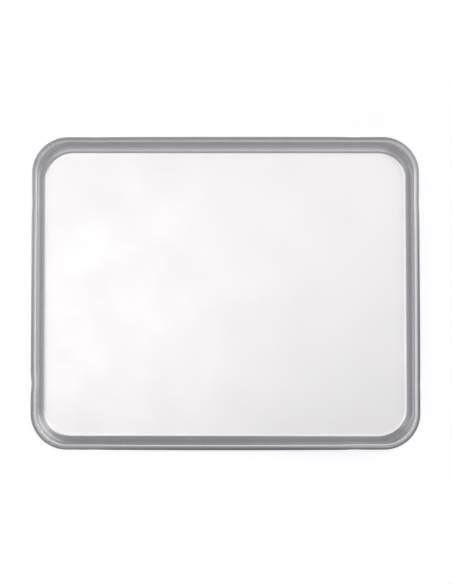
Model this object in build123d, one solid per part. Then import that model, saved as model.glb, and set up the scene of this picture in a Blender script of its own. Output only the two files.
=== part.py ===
from build123d import *
import os
from math import acos, cos, degrees, radians, sin, tan

# A shallow oven sheet of pressed aluminium, its edge curled round a steel wire.
# The origin is on the table, under the middle of the floor. X runs along the longer side.

# Overall sizes, measured over the rim
tray_length = 400.0
tray_width = 322.0
tray_height = 25.0
rim_corner_radius = 37.5

# The sheet and its wall
sheet_thickness = 1.2
wall_slope_deg = 5.0
floor_corner_radius = 32.0
foot_radius = 6.0

# The edge of the sheet, over a tight shoulder and a broad crown, then tightly round the wire
shoulder_radius = 1.5
crown_radius = 5.2
crown_turn_deg = 60.0
wire_diameter = 4.0
wire_play = 0.1
wire_butt_gap = 1.0
curl_edge_gap = 0.3

# The inside of the curl and the wire can't be seen, so their rounds are drawn with flats
wire_sides = 12
curl_flat_count = 6
crown_flat_count = 3

# Levels down the wall where its outline is drawn, as shares of the way from the curl to the floor.
# The corners open out evenly between them, and the straight sides stay flat.
level_shares = (0, 1 / 2, 1)

# Sizes of the rim that follow from the wire, the sheet and the slope.
# The crown's centre and the wire's are measured in from the rim's outermost line and down from its top.
slope = radians(wall_slope_deg)
crown_turn = radians(crown_turn_deg)
curl_radius = wire_diameter / 2 + wire_play + sheet_thickness
crown_inset = curl_radius + (crown_radius - curl_radius) * sin(crown_turn)
wire_inset = curl_radius
wire_drop = crown_radius - (crown_radius - curl_radius) * cos(crown_turn)
wire_height = tray_height - wire_drop
wire_length = tray_length - 2 * wire_inset
wire_width = tray_width - 2 * wire_inset
wire_corner_radius = rim_corner_radius - wire_inset

# Where the two faces of the wall cross the wire's level, in from the wire
shoulder_height = tray_height - shoulder_radius
wall_run = (shoulder_height - wire_height) * tan(slope)
inner_face_inset = crown_inset - wire_inset + shoulder_radius / cos(slope) + wall_run
outer_face_inset = inner_face_inset - sheet_thickness / cos(slope)


def rim_point(centre, radius, angle_deg):
    """A point on an arc of the rim's section, measured outwards and up from the wire's centre."""
    angle = radians(angle_deg)
    return (centre[0] + radius * cos(angle), centre[1] + radius * sin(angle))


def rim_section():
    """The edge of the sheet in section: up the top of the wall, over the crown, round the wire and back."""
    crown_centre = (wire_inset - crown_inset, wire_drop - crown_radius)
    shoulder_centre = (crown_centre[0], wire_drop - shoulder_radius)
    wire_centre = (0, 0)
    wall_angle = 180 - wall_slope_deg
    crown_end = 90 - crown_turn_deg
    wall_back = outer_face_inset + curl_radius * tan(slope)
    curl_end = degrees(acos((wall_back - curl_edge_gap) / curl_radius)) - 180
    hidden_top = wire_drop - sheet_thickness
    hidden_corner = (-outer_face_inset + hidden_top * tan(slope), hidden_top)

    def bend(centre, radius, start, end):
        return ThreePointArc(*[rim_point(centre, radius, angle) for angle in (start, (start + end) / 2, end)])

    def flats(centre, radius, start, end, count):
        return [rim_point(centre, radius, start + (end - start) * step / count) for step in range(count + 1)]

    seen_face = [
        Line((-inner_face_inset, 0), rim_point(shoulder_centre, shoulder_radius, wall_angle)),
        bend(shoulder_centre, shoulder_radius, wall_angle, 90),
        bend(crown_centre, crown_radius, 90, crown_end),
        bend(wire_centre, curl_radius, crown_end, curl_end),
    ]
    hidden_face = [
        rim_point(wire_centre, curl_radius, curl_end),
        *flats(wire_centre, curl_radius - sheet_thickness, curl_end, crown_end, curl_flat_count),
        *flats(crown_centre, crown_radius - sheet_thickness, crown_end, 90, crown_flat_count)[1:],
        hidden_corner,
        (-outer_face_inset, 0),
        (-inner_face_inset, 0),
    ]
    return make_face([*seen_face, Polyline(*hidden_face)])


def round_the_rim(section):
    """The section carried along the four sides and turned round the four corners."""
    corner_x = wire_length / 2 - wire_corner_radius
    corner_y = wire_width / 2 - wire_corner_radius
    pieces = []
    for quarter in range(4):
        outwards = Vector(1, 0, 0).rotate(Axis.Z, 90 * quarter)
        along_x = quarter % 2 == 1
        side_distance = wire_width / 2 if along_x else wire_length / 2
        straight_length = 2 * corner_x if along_x else 2 * corner_y
        travel = Vector(0, 0, 1).cross(outwards)
        middle = outwards * side_distance + Vector(0, 0, wire_height)

        side_plane = Plane(middle, x_dir=outwards, z_dir=-travel)
        pieces.append(extrude(side_plane * section, straight_length / 2, both=True))

        corner_start = Plane(middle + travel * (straight_length / 2), x_dir=outwards, z_dir=-travel)
        corner_axis = Axis(corner_start.origin - outwards * wire_corner_radius, (0, 0, 1))
        pieces.append(revolve(corner_start * section, corner_axis, 90))
    return Part() + pieces


def wall_outline(level, face_inset):
    """The rounded rectangle of one face of the wall, at one level. The face runs on from the rim's."""
    drop = wire_height - level
    share_down = drop / (wire_height - sheet_thickness)
    inset = face_inset + drop * tan(slope)
    floor_inset = inner_face_inset + (wire_height - sheet_thickness) * tan(slope)
    extra_radius = floor_corner_radius - (wire_corner_radius - floor_inset)
    radius = wire_corner_radius - inset + extra_radius * share_down
    outline = RectangleRounded(wire_length - 2 * inset, wire_width - 2 * inset, radius)
    return Pos(0, 0, level) * outline


def wall_block(face_inset, bottom, bottom_radius):
    """A solid with one face of the wall for its sides, rounded where it meets the floor."""
    levels = [wire_height - (wire_height - bottom) * share for share in level_shares]
    block = loft([wall_outline(level, face_inset) for level in levels], ruled=True)
    foot_edges = block.faces().sort_by(Axis.Z)[0].edges()
    return fillet(foot_edges, bottom_radius)


def tray_sheet():
    """Floor, wall and curled edge, all one sheet."""
    outside = wall_block(outer_face_inset, 0, foot_radius + sheet_thickness)
    inside = wall_block(inner_face_inset, sheet_thickness, foot_radius)
    return outside - inside + round_the_rim(rim_section())


def rim_wire():
    """One wire bent round all four corners, its ends meeting in the middle of the back side."""
    back = wire_width / 2
    side = wire_length / 2
    end = wire_butt_gap / 2
    corners = [(end, back), (side, back), (side, -back), (-side, -back), (-side, back), (-end, back)]
    route = Pos(0, 0, wire_height) * FilletPolyline(*corners, radius=wire_corner_radius)
    start = Plane(route @ 0, z_dir=route % 0)
    return sweep(start * RegularPolygon(wire_diameter / 2, wire_sides), path=route)


os.makedirs("parts", exist_ok=True)
for name, shape in {"tray_sheet": tray_sheet(), "rim_wire": rim_wire()}.items():
    export_step(shape, f"parts/{name}.step")
    print(name, len(shape.solids()), "solid,", round(shape.volume), "mm3")
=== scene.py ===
import bmesh
import bpy
from math import asin, cos, exp, log, pi, radians, sin, tan
from mathutils import Matrix, Vector


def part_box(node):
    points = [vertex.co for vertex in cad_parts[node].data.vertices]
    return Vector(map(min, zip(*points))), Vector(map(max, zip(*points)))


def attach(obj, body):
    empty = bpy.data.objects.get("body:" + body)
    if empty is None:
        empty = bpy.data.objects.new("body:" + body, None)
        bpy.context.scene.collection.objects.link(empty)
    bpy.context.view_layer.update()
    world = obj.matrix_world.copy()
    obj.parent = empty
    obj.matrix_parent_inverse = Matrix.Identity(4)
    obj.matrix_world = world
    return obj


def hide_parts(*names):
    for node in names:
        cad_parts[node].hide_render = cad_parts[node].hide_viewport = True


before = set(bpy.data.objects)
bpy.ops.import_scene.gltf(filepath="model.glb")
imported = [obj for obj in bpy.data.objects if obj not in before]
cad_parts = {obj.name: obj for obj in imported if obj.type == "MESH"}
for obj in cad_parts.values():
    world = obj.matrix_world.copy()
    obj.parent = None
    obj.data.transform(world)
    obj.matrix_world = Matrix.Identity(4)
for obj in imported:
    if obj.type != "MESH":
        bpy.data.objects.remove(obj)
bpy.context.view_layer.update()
print("frame loaded:", sorted(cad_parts))

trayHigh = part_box("tray_sheet")[1]
wireLow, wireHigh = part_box("rim_wire")
wireRadius = (wireHigh.z - wireLow.z) / 2
wireCentre = Vector((wireHigh.x - wireRadius, wireHigh.y - wireRadius, wireHigh.z - wireRadius))


# Small helpers for meshes

def newPiece(name, bm, material):
    mesh = bpy.data.meshes.new(name)
    bm.to_mesh(mesh)
    bm.free()
    mesh.shade_smooth()
    mesh.materials.append(material)
    piece = bpy.data.objects.new(name, mesh)
    bpy.context.scene.collection.objects.link(piece)
    return piece


def onlyVerts(items):
    return [item for item in items if isinstance(item, bmesh.types.BMVert)]


def onlyEdges(items):
    return [item for item in items if isinstance(item, bmesh.types.BMEdge)]


def bendOn(bm, vert, centre, angle, steps):
    # carries the line on from its last point in an arc, in the plane of the section
    turned = bmesh.ops.spin(bm, geom=[vert], cent=centre, axis=(0, 1, 0), angle=angle, steps=steps)
    return onlyVerts(turned["geom_last"])[0]


def runOn(bm, vert, way, steps):
    # carries the line on straight
    for _ in range(steps):
        grown = bmesh.ops.extrude_vert_indiv(bm, verts=[vert])
        vert = grown["verts"][0]
        bmesh.ops.translate(bm, verts=[vert], vec=way / steps)
    return vert


def growEdges(bm, edges):
    # one more row of faces, still lying on the last, and the points and edges at its far side
    grown = bmesh.ops.extrude_edge_only(bm, edges=edges)["geom"]
    verts = onlyVerts(grown)
    return verts, [edge for edge in onlyEdges(grown) if all(vert in verts for vert in edge.verts)]


def runEdges(bm, edges, way, steps):
    # carries a line of edges on as a strip of faces
    for _ in range(steps):
        verts, edges = growEdges(bm, edges)
        bmesh.ops.translate(bm, verts=verts, vec=way / steps)
    return edges


def spinQuarter(bm, edges, centre, angle=pi / 2):
    # carries a line of edges round one of the tray's corners
    turned = bmesh.ops.spin(bm, geom=edges, cent=centre, axis=(0, 0, 1), angle=angle,
                            steps=tray["cornerSteps"])
    return onlyEdges(turned["geom_last"])


def smoothStep(low, high, value):
    share = min(max((value - low) / (high - low), 0.0), 1.0)
    return share * share * (3 - 2 * share)


# The tray: one sheet of aluminium, drawn as its upper face and given its thickness last

tray = {
    "sheetThickness": 0.0012,
    "wallSlope": radians(5),         # out from upright
    "longWallSpread": 0.0008,        # how much further in the long walls meet the floor
    "footRadius": 0.006,
    "shoulderRadius": 0.0013,        # the tight bend between wall and rim
    "crownRadius": 0.0057,           # the broad bend over the rim's top
    "crownTurn": radians(60),
    "rimCornerRadius": 0.0375,
    "floorCornerRadius": 0.032,      # where wall and floor would meet without the foot's bend
    "cornerFlare": 0.008,            # how much the corner's radius grows just under the rim
    "flareDepth": 0.0035,            # within about this depth
    "curlEdgeGap": 0.0003,           # from the raw edge to the wall
    "footSteps": 14,
    "wallSteps": 6,
    "shoulderSteps": 9,
    "crownSteps": 12,
    "curlSteps": 26,
    "cornerSteps": 36,
    "longSideSteps": 60,             # for half a side, as the next
    "shortSideSteps": 46,
    "floorRingShares": (0.995, 0.985, 0.97, 0.94, 0.9, 0.84, 0.76, 0.66, 0.54, 0.4, 0.24, 0.08),
    "floorCrown": 0.00035,           # how far the middle of the floor stands up
    "edgeRounding": 0.00025,         # on the raw edge
    "edgeRoundingSteps": 2,
    "edgeRoundingAngle": radians(60),
}

# How the hand-guided rolling of the rim wandered, in metres, as seen from above:
# a side bows in towards its ends, swells as a whole, and is pinched in near each corner
rimWander = {
    "bow": {"left": 0.0002, "right": 0.0003, "back": 0.0003, "front": 0.0007},
    "swell": {"left": 0.0, "right": 0.0, "back": 0.0006, "front": 0.0004},
    "pinchFromCorner": 0.030,
    "pinchWidth": 0.0085,
    "fadeIn": (-0.01, 0.02),             # round the corner, before and after the side's own end
    "pinch": {
        "left": (0.0008, 0.0004),        # front end, back end
        "right": (0.0002, 0.0004),
        "back": (0.0003, 0.0003),        # left end, right end
        "front": (0.0002, 0.0004),
    },
}

slope = tray["wallSlope"]
touching = 1e-6    # points this near count as one
floorTop = tray["sheetThickness"]
shoulder = tray["shoulderRadius"]
crown = tray["crownRadius"]
curl = trayHigh.x - wireCentre.x
crownInset = curl + (crown - curl) * sin(tray["crownTurn"])    # the rim's top, in from its outside
shoulderHeight = trayHigh.z - shoulder
cornerCentre = Vector((trayHigh.x - tray["rimCornerRadius"], trayHigh.y - tray["rimCornerRadius"], 0))
cornerTurn = tray["rimCornerRadius"] - crownInset
wallFoot = crownInset + shoulder / cos(slope) + (shoulderHeight - floorTop) * tan(slope)
footStart = wallFoot + tray["footRadius"] * tan((pi / 2 - slope) / 2)


def sheetSection(bm):
    # floor's edge, foot, wall, shoulder, crown and curl, in one line at the start of the corner
    start = Vector((trayHigh.x - footStart, cornerCentre.y, floorTop))
    vert = bmesh.ops.create_vert(bm, co=start)["vert"][0]
    vert = bendOn(bm, vert, start + Vector((0, 0, tray["footRadius"])), slope - pi / 2, tray["footSteps"])

    top = Vector((trayHigh.x - crownInset, cornerCentre.y, trayHigh.z))
    shoulderCentre = top - Vector((0, 0, shoulder))
    wallTop = shoulderCentre + Vector((-cos(slope), 0, sin(slope))) * shoulder
    vert = runOn(bm, vert, wallTop - vert.co, tray["wallSteps"])
    vert = bendOn(bm, vert, shoulderCentre, pi / 2 - slope, tray["shoulderSteps"])
    vert = bendOn(bm, vert, top - Vector((0, 0, crown)), tray["crownTurn"], tray["crownSteps"])

    # round the wire until the raw edge stands just off the wall
    wallBack = wallFoot - tray["sheetThickness"] / cos(slope)
    wallBack -= (wireCentre.z - curl - floorTop) * tan(slope)
    lastTurn = asin((wallBack - curl - tray["curlEdgeGap"]) / curl)
    curlCentre = Vector((wireCentre.x, cornerCentre.y, wireCentre.z))
    bendOn(bm, vert, curlCentre, pi - tray["crownTurn"] + lastTurn, tray["curlSteps"])
    return list(bm.edges)


def shapeWalls(verts):
    # in the corners the sheet leaves the rim in a wide flare, and towards the floor the radius grows again
    extra = tray["floorCornerRadius"] - (tray["rimCornerRadius"] - wallFoot)
    crownX = trayHigh.x - crownInset
    crownY = trayHigh.y - crownInset
    for vert in verts:
        away = Vector((max(vert.co.x - cornerCentre.x, 0), max(vert.co.y - cornerCentre.y, 0)))
        if away.length > cornerTurn or vert.co.x > crownX or vert.co.y > crownY:
            continue    # outside the crown's top
        depth = trayHigh.z - vert.co.z
        share = min(max((shoulderHeight - vert.co.z) / (shoulderHeight - floorTop), 0), 1)
        flare = tray["cornerFlare"] * (1 - exp(-depth / tray["flareDepth"])) * (1 - share)
        grown = extra * share * share + flare
        if away.x > 0 and away.y > 0:
            turn = away.normalized()
            vert.co.x += grown * (turn.x - 1)
            vert.co.y += grown * (turn.y - 1)
        elif away.y == 0:
            vert.co.y *= 1 - grown / cornerCentre.y
        else:
            vert.co.x *= 1 - grown / cornerCentre.x
        vert.co.y *= 1 - tray["longWallSpread"] * share / trayHigh.y


def wander(point):
    # how far a point of the rim lies from where a perfect tool would have put it
    height = smoothStep(floorTop + tray["footRadius"], wireCentre.z - curl / 2, point.z)
    before, after = rimWander["fadeIn"]
    moved = Vector((0, 0, 0))
    for axis, along, sides in ((0, 1, ("left", "right")), (1, 0, ("front", "back"))):
        side = sides[1] if point[axis] > 0 else sides[0]
        ends = rimWander["pinch"][side]
        pinch = ends[1] if point[along] > 0 else ends[0]
        half = cornerCentre[along]
        out = abs(point[along])
        dip = rimWander["bow"][side] * min(out / half, 1.0) ** 2 - rimWander["swell"][side]
        dip += pinch * exp(-((out - half + rimWander["pinchFromCorner"]) / rimWander["pinchWidth"]) ** 2)
        near = smoothStep(cornerCentre[axis] + before, cornerCentre[axis] + after, abs(point[axis]))
        moved[axis] = -dip * near * height * (1 if point[axis] > 0 else -1)
    return moved


def makeTray(material):
    bm = bmesh.new()
    section = sheetSection(bm)
    turned = spinQuarter(bm, section, cornerCentre)
    runEdges(bm, section, Vector((0, -cornerCentre.y, 0)), tray["shortSideSteps"])
    runEdges(bm, turned, Vector((-cornerCentre.x, 0, 0)), tray["longSideSteps"])
    bmesh.ops.remove_doubles(bm, verts=bm.verts, dist=touching)
    shapeWalls(bm.verts)
    for axis in ("X", "Y"):
        bmesh.ops.mirror(bm, geom=bm.verts[:] + bm.edges[:] + bm.faces[:], axis=axis, merge_dist=touching)

    # the floor, ring by ring to its middle
    ring = [edge for edge in bm.edges if edge.is_boundary
            and all(abs(vert.co.z - floorTop) < touching for vert in edge.verts)]
    reached = 1.0
    for share in tray["floorRingShares"]:
        verts, ring = growEdges(bm, ring)
        bmesh.ops.scale(bm, verts=verts, vec=(share / reached, share / reached, 1))
        reached = share
    middle = bmesh.ops.contextual_create(bm, geom=ring)["faces"]
    bmesh.ops.poke(bm, faces=middle)

    # the floor's slight crown, and the rim's wandering
    halfX = trayHigh.x - footStart
    halfY = trayHigh.y - footStart
    for vert in bm.verts:
        if vert.co.z < floorTop + touching:
            rise = max(1 - (vert.co.x / halfX) ** 2, 0) * max(1 - (vert.co.y / halfY) ** 2, 0)
            vert.co.z += tray["floorCrown"] * rise
        else:
            vert.co += wander(vert.co)
    bmesh.ops.recalc_face_normals(bm, faces=bm.faces)
    middleFace = min(bm.faces, key=lambda face: face.calc_center_median().xy.length)
    if middleFace.normal.z < 0:
        bmesh.ops.reverse_faces(bm, faces=bm.faces)
    print("tray drawn:", len(bm.faces), "faces")

    piece = newPiece("tray", bm, material)
    thicken = piece.modifiers.new("thickness", "SOLIDIFY")
    thicken.thickness = tray["sheetThickness"]
    thicken.offset = -1
    thicken.use_even_offset = True
    soften = piece.modifiers.new("raw edge", "BEVEL")
    soften.width = tray["edgeRounding"]
    soften.segments = tray["edgeRoundingSteps"]
    soften.limit_method = "ANGLE"
    soften.angle_limit = tray["edgeRoundingAngle"]
    return piece


# The wire in the rim

wire = {
    "buttGap": 0.001,
    "roundSteps": 20,
}


def makeWire(material):
    bm = bmesh.new()
    circle = bmesh.ops.create_circle(bm, segments=wire["roundSteps"], radius=wireRadius)["verts"]
    placed = Matrix.Translation((wire["buttGap"] / 2, wireCentre.y, wireCentre.z))
    bmesh.ops.transform(bm, matrix=placed @ Matrix.Rotation(pi / 2, 4, "Y"), verts=circle)
    backEnd = list(bm.edges)
    run = runEdges(bm, backEnd, Vector((cornerCentre.x - wire["buttGap"] / 2, 0, 0)), tray["longSideSteps"])
    run = spinQuarter(bm, run, cornerCentre, -pi / 2)
    run = runEdges(bm, run, Vector((0, -2 * cornerCentre.y, 0)), 2 * tray["shortSideSteps"])
    run = spinQuarter(bm, run, Vector((cornerCentre.x, -cornerCentre.y, 0)), -pi / 2)
    runEdges(bm, run, Vector((-cornerCentre.x, 0, 0)), tray["longSideSteps"])
    bmesh.ops.contextual_create(bm, geom=backEnd)
    bmesh.ops.mirror(bm, geom=bm.verts[:] + bm.edges[:] + bm.faces[:], axis="X", merge_dist=touching)
    for vert in bm.verts:
        centred = Vector((vert.co.x, vert.co.y, wireCentre.z))
        vert.co += wander(centred)
    bmesh.ops.recalc_face_normals(bm, faces=bm.faces)
    print("wire drawn:", len(bm.faces), "faces")
    return newPiece("wire_in_rim", bm, material)


# Materials

def startMaterial(name):
    material = bpy.data.materials.new(name)
    material.use_nodes = True
    tree = material.node_tree
    tree.nodes.clear()
    output = tree.nodes.new("ShaderNodeOutputMaterial")
    return material, tree, output


def feed(tree, socket, value):
    # a socket takes either another node's output or a plain value
    if isinstance(value, bpy.types.NodeSocket):
        tree.links.new(value, socket)
    else:
        socket.default_value = value


def calc(tree, operation, first, second=0.0):
    node = tree.nodes.new("ShaderNodeMath")
    node.operation = operation
    feed(tree, node.inputs[0], first)
    feed(tree, node.inputs[1], second)
    return node.outputs[0]


def vectorCalc(tree, operation, first, second=(0.0, 0.0, 0.0), output="Vector"):
    node = tree.nodes.new("ShaderNodeVectorMath")
    node.operation = operation
    feed(tree, node.inputs[0], first)
    if operation == "SCALE":
        feed(tree, node.inputs["Scale"], second)
    else:
        feed(tree, node.inputs[1], second)
    return node.outputs[output]


def ramp(tree, value, low, high, fromShare=0.0, toShare=1.0):
    # goes smoothly from one share to the other while the value goes from low to high
    node = tree.nodes.new("ShaderNodeMapRange")
    node.interpolation_type = "SMOOTHSTEP"
    ends = {"Value": value, "From Min": low, "From Max": high, "To Min": fromShare, "To Max": toShare}
    for name, item in ends.items():
        feed(tree, node.inputs[name], item)
    return node.outputs["Result"]


def cloud(tree, place, size, detail=2.0, roughness=0.5):
    # noise with bumps of the given size in metres
    node = tree.nodes.new("ShaderNodeTexNoise")
    node.inputs["Scale"].default_value = 1.0 / size
    node.inputs["Detail"].default_value = detail
    node.inputs["Roughness"].default_value = roughness
    tree.links.new(place, node.inputs["Vector"])
    return node.outputs["Fac"]


def mixColor(tree, share, first, second):
    node = tree.nodes.new("ShaderNodeMix")
    node.data_type = "RGBA"    # its inputs 6 and 7 are the colours
    feed(tree, node.inputs[0], share)
    feed(tree, node.inputs[6], first)
    feed(tree, node.inputs[7], second)
    return node.outputs[2]


def apart(tree, vector):
    # the X, Y and Z of a vector or colour
    node = tree.nodes.new("ShaderNodeSeparateXYZ")
    tree.links.new(vector, node.inputs[0])
    return node.outputs


def bump(tree, height, depth, under=None):
    node = tree.nodes.new("ShaderNodeBump")
    node.inputs["Strength"].default_value = 1.0
    feed(tree, node.inputs["Distance"], depth)
    tree.links.new(height, node.inputs["Height"])
    if under is not None:
        tree.links.new(under, node.inputs["Normal"])
    return node.outputs["Normal"]


aluminium = {
    "floorColor": (0.918, 0.902, 0.909, 1),
    "wallColor": (0.896, 0.891, 0.909, 1),
    "uprightPaintedShade": (0.77, 0.765, 0.785, 1),   # painted shade on the steep part of the straight walls
    # painted shade: the back of the rim is darker than the front
    "backRimPaintedShade": (0.76, 0.755, 0.77, 1),
    # painted light on the front corners, painted shade on the back corners
    "frontCornerPaintedLight": (0.93, 0.93, 0.93, 1),
    "backCornerPaintedShade": (0.84, 0.84, 0.845, 1),
    "outsidePaintedShade": (0.72, 0.715, 0.72, 1),    # painted shade on wall and floor where they face down and outwards
    "flankPaintedShade": (0.20, 0.20, 0.20, 1),      # painted shade on the rim's outer flank, stronger towards the front right

    "floorRoughness": 0.34,
    "wallRoughness": 0.42,
    "rimRoughness": 0.46,
    "backRimRoughness": 0.60,
    "frontCornerRoughness": 0.50,
    "backCornerRoughness": 0.62,               # the back corners came out more matt than the front ones
    "rolledRoughness": 0.5,

    # where each finish and each painted shade begins and where it is full
    "wallFinish": (0.7, 0.001),                # share of the foot's radius inside its line, metres outside it
    "rimFinish": (0.0035, 0.0005),             # metres in from the crown's top
    "flankShadeAndDullBand": (0.0045, 0.0012),          # metres in from the rim's outside
    "cornerFinish": (0.0, 0.012),              # metres into the corner from the ends of both sides
    "backFinish": (0.110, 0.150),              # metres from the middle
    "backCornerFinish": (0.05, -0.05),         # metres along frontRight
    "outsideShadeRange": (0.02, -0.06),            # how far a face looks up, 1 straight up
    "uprightShadeRange": (0.80, 0.15),
    "frontRight": (0.4, -1.0, 0.0),
    "flankShadeAndDullAcross": (-0.2, 0.2),               # metres along frontRight
    "flankShadeAndDullLeast": 0.28,                       # share of the flank's painted shade and dulling at the back left

    "grainSize": 0.0007,
    "grainStretch": 40.0,                      # the rolling grain runs along the tray
    "grainDepth": 0.0000022,
    "grainRoughness": 0.08,
    "blotchSize": 0.055,
    "blotchRoughness": 0.035,
    "drawnSize": 0.0020,                       # marks of drawing, straight up the wall, fanned in corners
    "drawnDrift": 0.12,                        # how fast they change on their way up
    "drawnDepth": 0.000016,
    "drawnCornerDepth": 0.000300,
    "speckleSize": 0.0014,
    "speckleDepth": 0.000090,
    "marksColor": (0.45, 0.445, 0.455, 1),     # in the hollows of marks and speckle
    "marksSpeckle": 0.5,
    "marksFrom": 0.68,
    "marksTo": 0.88,
    "marksShade": 0.22,                        # how much of that colour shows in the corners
}


def makeAluminium():
    material, tree, output = startMaterial("satin aluminium")
    coordinates = tree.nodes.new("ShaderNodeTexCoord")
    place = coordinates.outputs["Object"]
    lookingUp = apart(tree, coordinates.outputs["Normal"])["Z"]

    # where a point lies against the middle line of the rim's corner bends
    flatOnly = (1.0, 1.0, 0.0)
    bendStart = (cornerCentre.x, cornerCentre.y, 0.0)
    spread = vectorCalc(tree, "ABSOLUTE", place)
    past = vectorCalc(tree, "SUBTRACT", spread, bendStart)
    past = vectorCalc(tree, "MULTIPLY", vectorCalc(tree, "MAXIMUM", past), flatOnly)
    inset = calc(tree, "SUBTRACT", tray["rimCornerRadius"], vectorCalc(tree, "LENGTH", past, output="Value"))
    pastEnd = apart(tree, past)
    frontRight = vectorCalc(tree, "DOT_PRODUCT", place, aluminium["frontRight"], output="Value")

    # the share of each finish there
    footShare, pastFoot = aluminium["wallFinish"]
    onWall = ramp(tree, inset, wallFoot + tray["footRadius"] * footShare, wallFoot - pastFoot)
    onRim = ramp(tree, inset, *[crownInset + depth for depth in aluminium["rimFinish"]])
    # the rim's outer flank: painted shade, and a rougher finish, both strongest at the front right
    flankShadeAndDullMost = ramp(tree, frontRight, *aluminium["flankShadeAndDullAcross"], aluminium["flankShadeAndDullLeast"], 1.0)
    flankShadeAndDull = calc(tree, "MULTIPLY", ramp(tree, inset, *aluminium["flankShadeAndDullBand"]), flankShadeAndDullMost)
    inCorner = ramp(tree, calc(tree, "MINIMUM", pastEnd["X"], pastEnd["Y"]), *aluminium["cornerFinish"])
    drawnCorner = calc(tree, "MULTIPLY", inCorner, onWall)
    atBack = ramp(tree, apart(tree, place)["Y"], *aluminium["backFinish"])
    backCorner = ramp(tree, frontRight, *aluminium["backCornerFinish"])
    # faces that look down and outwards, for their painted shade
    outside = ramp(tree, lookingUp, *aluminium["outsideShadeRange"])
    # the steep faces of the straight walls, for their painted shade
    upright = ramp(tree, lookingUp, *aluminium["uprightShadeRange"])
    upright = calc(tree, "MULTIPLY", upright, calc(tree, "SUBTRACT", 1.0, inCorner))

    # rolling grain, one stretched noise, and slow blotches
    stretched = vectorCalc(tree, "MULTIPLY", place, (1.0 / aluminium["grainStretch"], 1.0, 1.0))
    grain = cloud(tree, stretched, aluminium["grainSize"], detail=3.0, roughness=0.6)
    blotch = cloud(tree, place, aluminium["blotchSize"], detail=3.0)

    # marks of drawing: nearly the same all the way up each line from floor to rim
    held = vectorCalc(tree, "MINIMUM", spread, bendStart)
    sides = vectorCalc(tree, "MULTIPLY", vectorCalc(tree, "SIGN", place), flatOnly)
    fanned = vectorCalc(tree, "SCALE", vectorCalc(tree, "NORMALIZE", past), tray["rimCornerRadius"])
    lines = vectorCalc(tree, "MULTIPLY", vectorCalc(tree, "ADD", held, fanned), sides)
    drift = vectorCalc(tree, "MULTIPLY", place, (0.0, 0.0, aluminium["drawnDrift"]))
    drawnAt = vectorCalc(tree, "ADD", lines, drift)
    drawn = cloud(tree, drawnAt, aluminium["drawnSize"], roughness=0.6)
    speckle = cloud(tree, place, aluminium["speckleSize"])

    normal = bump(tree, grain, aluminium["grainDepth"])
    cornerDepth = calc(tree, "MULTIPLY", inCorner, aluminium["drawnCornerDepth"] - aluminium["drawnDepth"])
    drawnDepth = calc(tree, "MULTIPLY", onWall, calc(tree, "ADD", cornerDepth, aluminium["drawnDepth"]))
    normal = bump(tree, drawn, drawnDepth, normal)
    normal = bump(tree, speckle, calc(tree, "MULTIPLY", drawnCorner, aluminium["speckleDepth"]), normal)

    rough = ramp(tree, onWall, 0.0, 1.0, aluminium["floorRoughness"], aluminium["wallRoughness"])
    rimRough = ramp(tree, atBack, 0.0, 1.0, aluminium["rimRoughness"], aluminium["backRimRoughness"])
    rough = ramp(tree, onRim, 0.0, 1.0, rough, rimRough)
    cornerRough = ramp(tree, frontRight, *aluminium["backCornerFinish"], aluminium["frontCornerRoughness"],
                       aluminium["backCornerRoughness"])
    rough = ramp(tree, drawnCorner, 0.0, 1.0, rough, cornerRough)
    for pattern, change in ((blotch, aluminium["blotchRoughness"] * 2), (grain, aluminium["grainRoughness"])):
        uneven = calc(tree, "MULTIPLY", calc(tree, "SUBTRACT", pattern, 0.5), change)
        rough = calc(tree, "ADD", rough, uneven)
    dulled = calc(tree, "MULTIPLY", flankShadeAndDull, aluminium["rolledRoughness"] - aluminium["rimRoughness"])
    rough = calc(tree, "ADD", rough, dulled)

    color = mixColor(tree, onWall, aluminium["floorColor"], aluminium["wallColor"])
    # painted shade on the back of the rim
    color = mixColor(tree, calc(tree, "MULTIPLY", atBack, onRim), color, aluminium["backRimPaintedShade"])
    # painted shade on the steep faces of the straight walls
    color = mixColor(tree, upright, color, aluminium["uprightPaintedShade"])
    # painted light on the front corners and painted shade on the back ones
    cornerLightAndShade = mixColor(tree, backCorner, aluminium["frontCornerPaintedLight"], aluminium["backCornerPaintedShade"])
    color = mixColor(tree, drawnCorner, color, cornerLightAndShade)
    # painted shade where the sheet faces down and outwards
    color = mixColor(tree, outside, color, aluminium["outsidePaintedShade"])
    # painted shade on the rim's outer flank
    color = mixColor(tree, flankShadeAndDull, color, aluminium["flankPaintedShade"])
    marks = calc(tree, "ADD", drawn, calc(tree, "MULTIPLY", speckle, aluminium["marksSpeckle"]))
    marks = ramp(tree, marks, aluminium["marksFrom"], aluminium["marksTo"])
    shade = calc(tree, "MULTIPLY", calc(tree, "MULTIPLY", marks, drawnCorner), aluminium["marksShade"])
    color = mixColor(tree, shade, color, aluminium["marksColor"])

    shader = tree.nodes.new("ShaderNodeBsdfPrincipled")
    shader.inputs["Metallic"].default_value = 1.0
    tree.links.new(color, shader.inputs["Base Color"])
    tree.links.new(rough, shader.inputs["Roughness"])
    tree.links.new(normal, shader.inputs["Normal"])
    tree.links.new(shader.outputs["BSDF"], output.inputs["Surface"])
    return material


steel = {
    "color": (0.60, 0.61, 0.63, 1),
    "dullColor": (0.44, 0.45, 0.47, 1),
    "roughness": (0.32, 0.52),     # of the smoothest and the roughest crystals
    "crystalSize": 0.0022,
    "bumpSize": 0.0011,
    "bumpDepth": 0.000008,
}


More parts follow.
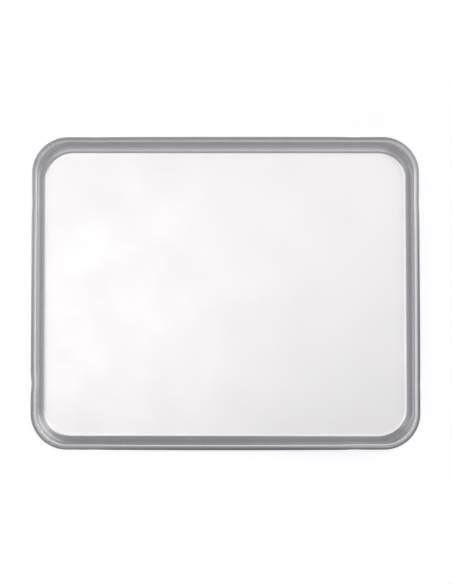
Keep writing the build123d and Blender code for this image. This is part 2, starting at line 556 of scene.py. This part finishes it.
def makeSteel():
    # drawn wire, galvanised: small crystals of zinc, some brighter than others
    material, tree, output = startMaterial("galvanised wire")
    place = tree.nodes.new("ShaderNodeTexCoord").outputs["Object"]
    crystals = tree.nodes.new("ShaderNodeTexVoronoi")
    crystals.inputs["Scale"].default_value = 1.0 / steel["crystalSize"]
    tree.links.new(place, crystals.inputs["Vector"])
    each = apart(tree, crystals.outputs["Color"])
    color = mixColor(tree, each["X"], steel["color"], steel["dullColor"])
    smoothest, roughest = steel["roughness"]
    rough = calc(tree, "ADD", calc(tree, "MULTIPLY", each["Y"], roughest - smoothest), smoothest)
    normal = bump(tree, cloud(tree, place, steel["bumpSize"]), steel["bumpDepth"])
    shader = tree.nodes.new("ShaderNodeBsdfPrincipled")
    shader.inputs["Metallic"].default_value = 1.0
    tree.links.new(color, shader.inputs["Base Color"])
    tree.links.new(rough, shader.inputs["Roughness"])
    tree.links.new(normal, shader.inputs["Normal"])
    tree.links.new(shader.outputs["BSDF"], output.inputs["Surface"])
    return material


# Studio: a white table in a dim room, under soft panels

studio = {
    "tableSize": 60.0,
    "tableColor": (0.93, 0.93, 0.93, 1),
    "tableGlow": (1.0, 0.995, 1.02, 1),
    "tableLift": (0.60, 0.510),      # how strongly it glows left and right of the tray
    # each panel's lean from straight up, heading and half width in degrees, and its brightness
    "panels": (
        (4.5, 150, 7.5, 1.58),
        (13, 0, 7.5, 0.40),
        (13, 60, 7.5, 0.08),
        (13, 120, 7.5, 0.44),
        (13, 180, 7.5, 0.89),
        (13, 240, 7.5, 0.20),
        (13, 300, 7.5, 0.34),
        (28, 0, 10, 0.95),
        (28, 45, 10, 2.50),
        (28, 135, 10, 0.46),
        (28, 180, 10, 1.46),
        (28, 270, 10, 0.16),
        (46, 0, 12, 0.22),
        (46, 45, 12, 0.55),
        (46, 270, 12, 0.25),
    ),
    "panelColor": (1.0, 1.0, 1.0, 1),
    # low panels all round, every 30 degrees
    "wallPanels": (0.28, 0.99, 0.27, 0.31, 0.28, 0.63, 0.32, 0.70, 0.44, 0.80, 0.77, 0.54),
    "wallLean": 68,
    "wallHalfWidth": 14,
    "wallColor": (0.99, 0.98, 1.05, 1),
}


def makeTable():
    bm = bmesh.new()
    bmesh.ops.create_grid(bm, x_segments=1, y_segments=1, size=studio["tableSize"] / 2)
    material, tree, output = startMaterial("white table")
    paper = tree.nodes.new("ShaderNodeBsdfDiffuse")
    paper.inputs["Color"].default_value = studio["tableColor"]
    seen = tree.nodes.new("ShaderNodeLightPath")
    shown = calc(tree, "MAXIMUM", seen.outputs["Is Camera Ray"], seen.outputs["Is Glossy Ray"])
    shown = calc(tree, "MAXIMUM", shown, seen.outputs["Is Transmission Ray"])
    glow = tree.nodes.new("ShaderNodeEmission")
    glow.inputs["Color"].default_value = studio["tableGlow"]
    across = apart(tree, tree.nodes.new("ShaderNodeTexCoord").outputs["Object"])["X"]
    lift = ramp(tree, across, -trayHigh.x, trayHigh.x, *studio["tableLift"])
    tree.links.new(calc(tree, "MULTIPLY", shown, lift), glow.inputs["Strength"])
    both = tree.nodes.new("ShaderNodeAddShader")
    tree.links.new(paper.outputs[0], both.inputs[0])
    tree.links.new(glow.outputs[0], both.inputs[1])
    tree.links.new(both.outputs[0], output.inputs["Surface"])
    table = newPiece("table", bm, material)


def panelLight(tree, direction, panels, color):
    # the sum of soft round panels, each brightest at its middle
    total = 0.0
    for lean, heading, halfWidth, brightness in panels:
        level = sin(radians(lean))
        middle = Vector((level * cos(radians(heading)), level * sin(radians(heading)), cos(radians(lean))))
        sharpness = log(2) / (1 - cos(radians(halfWidth)))
        near = vectorCalc(tree, "DOT_PRODUCT", direction, middle, output="Value")
        fall = calc(tree, "MULTIPLY", calc(tree, "SUBTRACT", near, 1.0), sharpness)
        shining = calc(tree, "MULTIPLY", calc(tree, "EXPONENT", fall), brightness)
        total = calc(tree, "ADD", shining, total)
    background = tree.nodes.new("ShaderNodeBackground")
    background.inputs["Color"].default_value = color
    tree.links.new(total, background.inputs["Strength"])
    return background.outputs[0]


def makeLight():
    world = bpy.data.worlds.new("studio light")
    world.use_nodes = True
    tree = world.node_tree
    tree.nodes.clear()
    direction = tree.nodes.new("ShaderNodeTexCoord").outputs["Generated"]
    step = 360 / len(studio["wallPanels"])
    walls = [(studio["wallLean"], index * step, studio["wallHalfWidth"], brightness)
             for index, brightness in enumerate(studio["wallPanels"])]
    both = tree.nodes.new("ShaderNodeAddShader")
    tree.links.new(panelLight(tree, direction, studio["panels"], studio["panelColor"]), both.inputs[0])
    tree.links.new(panelLight(tree, direction, walls, studio["wallColor"]), both.inputs[1])
    output = tree.nodes.new("ShaderNodeOutputWorld")
    tree.links.new(both.outputs[0], output.inputs["Surface"])
    bpy.context.scene.world = world


# Camera: nearly straight above, a little towards the front

photo = {
    "width": 452,
    "height": 584,
    "millimetresPerPixel": 1.028,      # at the height of the rim
    "trayCentre": (225.5, 292.92),     # in pixels from the top left
    "tilt": radians(2.5),
    "distance": 1.5,
    "sensor": 36.0,
    "clipEnd": 100.0,
}


def makeCamera():
    data = bpy.data.cameras.new("camera")
    camera = bpy.data.objects.new("camera", data)
    bpy.context.scene.collection.objects.link(camera)
    scale = photo["millimetresPerPixel"] / 1000
    seenHeight = photo["height"] * scale
    data.sensor_width = photo["sensor"]
    data.lens = photo["sensor"] * photo["distance"] / seenHeight
    aimX = (photo["width"] / 2 - photo["trayCentre"][0]) * scale
    aimY = (photo["trayCentre"][1] - photo["height"] / 2) * scale
    aim = Vector((aimX, aimY, wireCentre.z))
    back = Vector((0, -sin(photo["tilt"]), cos(photo["tilt"])))
    camera.location = aim + back * photo["distance"]
    camera.rotation_euler = (-back).to_track_quat("-Z", "Y").to_euler()
    data.clip_end = photo["clipEnd"]
    bpy.context.scene.camera = camera


makeCamera()
makeTable()
makeLight()
print("studio ready")

trayPiece = makeTray(makeAluminium())
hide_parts("tray_sheet")
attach(trayPiece, "root")

wirePiece = makeWire(makeSteel())
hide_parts("rim_wire")
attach(wirePiece, "root")
print("pieces finished and placed")

bpy.context.scene.view_settings.view_transform = "Standard"
